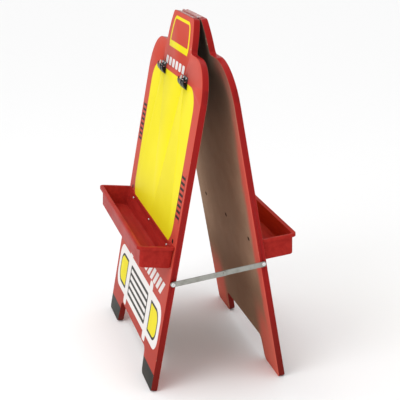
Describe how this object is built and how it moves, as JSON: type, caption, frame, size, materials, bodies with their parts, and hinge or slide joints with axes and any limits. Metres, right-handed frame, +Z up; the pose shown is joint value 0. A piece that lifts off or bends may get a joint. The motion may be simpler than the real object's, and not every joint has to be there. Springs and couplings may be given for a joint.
{
  "type": "kids easel",
  "caption": "Free-standing A-frame children's easel: two shaped boards hinged at the top, each with a long tray and paper clips, held open by a folding side stay.",
  "frame": {"origin": "centre of the whole object's footprint, on the floor", "axes": "+Z up; the front board faces -Y and the back board faces +Y; +X is to the side that carries the folding stay"},
  "size_m": [0.6336, 0.4442, 0.9906],
  "materials": {
    "painted_board": "satin paint on wood-fibre board",
    "red_plastic": "gloss",
    "black_plastic": "satin",
    "bright_steel": "polished",
    "screw_steel": "bright plated",
    "zinc_steel": "zinc plated"
  },
  "bodies": {
    "front": {"front_panel": "painted_board", "front_tray": "red_plastic", "front_tray_screws": "screw_steel", "hinge_front_leaf": "zinc_steel", "hinge_pin": "screw_steel", "hinge_front_screws": "screw_steel", "stay_front_spacer": "zinc_steel", "stay_front_screw": "screw_steel", "front_clip_screws": "screw_steel", "front_clip_pins": "screw_steel", "front_left_clip_base": "zinc_steel", "front_right_clip_base": "zinc_steel", "front_left_clip_spring": "bright_steel", "front_right_clip_spring": "bright_steel"},
    "back": {"back_panel": "painted_board", "back_tray": "red_plastic", "back_tray_screws": "screw_steel", "hinge_back_leaf": "zinc_steel", "hinge_back_screws": "screw_steel", "stay_rear_washer": "zinc_steel", "stay_rear_screw": "screw_steel", "back_clip_screws": "screw_steel", "back_clip_pins": "screw_steel", "back_left_clip_base": "zinc_steel", "back_right_clip_base": "zinc_steel", "back_left_clip_spring": "bright_steel", "back_right_clip_spring": "bright_steel"},
    "stay_front_link": {"stay_front_link": "zinc_steel", "stay_middle_rivet": "zinc_steel", "stay_stop_stud": "zinc_steel"},
    "stay_rear_link": {"stay_rear_link": "zinc_steel"},
    "front_left_clip": {"front_left_clip_lever": "bright_steel", "front_left_clip_jaw": "black_plastic"},
    "front_right_clip": {"front_right_clip_lever": "bright_steel", "front_right_clip_jaw": "black_plastic"},
    "back_left_clip": {"back_left_clip_lever": "bright_steel", "back_left_clip_jaw": "black_plastic"},
    "back_right_clip": {"back_right_clip_lever": "bright_steel", "back_right_clip_jaw": "black_plastic"}
  },
  "joints": [
    {"name": "panel_fold", "type": "hinge", "parent": "front", "child": "back", "pos_m": [-0.0048, 0, 0.98707], "axis": [-1, 0, 0], "range_deg": [0, 20.2]},
    {"name": "stay_front_pivot", "type": "hinge", "parent": "front", "child": "stay_front_link", "pos_m": [0.3126, -0.12971, 0.31247], "axis": [1, 0, 0], "range_deg": [0, 67.51]},
    {"name": "stay_rear_pivot", "type": "hinge", "parent": "back", "child": "stay_rear_link", "pos_m": [0.31, 0.12375, 0.34594], "axis": [-1, 0, 0], "range_deg": [0, 84.08]},
    {"name": "front_left_clip_hinge", "type": "hinge", "parent": "front", "child": "front_left_clip", "pos_m": [-0.1318, -0.05498, 0.82327], "axis": [-1, 0, 0], "range_deg": [0, 18], "stiffness_Nm_per_rad": 0.3, "springref_deg": -20.05},
    {"name": "front_right_clip_hinge", "type": "hinge", "parent": "front", "child": "front_right_clip", "pos_m": [0.1222, -0.05498, 0.82327], "axis": [-1, 0, 0], "range_deg": [0, 18], "stiffness_Nm_per_rad": 0.3, "springref_deg": -20.05},
    {"name": "back_left_clip_hinge", "type": "hinge", "parent": "back", "child": "back_left_clip", "pos_m": [0.1222, 0.05498, 0.82327], "axis": [1, 0, 0], "range_deg": [0, 18], "stiffness_Nm_per_rad": 0.3, "springref_deg": -20.05},
    {"name": "back_right_clip_hinge", "type": "hinge", "parent": "back", "child": "back_right_clip", "pos_m": [-0.1318, 0.05498, 0.82327], "axis": [1, 0, 0], "range_deg": [0, 18], "stiffness_Nm_per_rad": 0.3, "springref_deg": -20.05}
  ],
  "couplings": [
    {"joint": "stay_front_pivot", "follows": "panel_fold", "ratio": 3.3418},
    {"joint": "stay_rear_pivot", "follows": "panel_fold", "ratio": 4.1617}
  ]
}
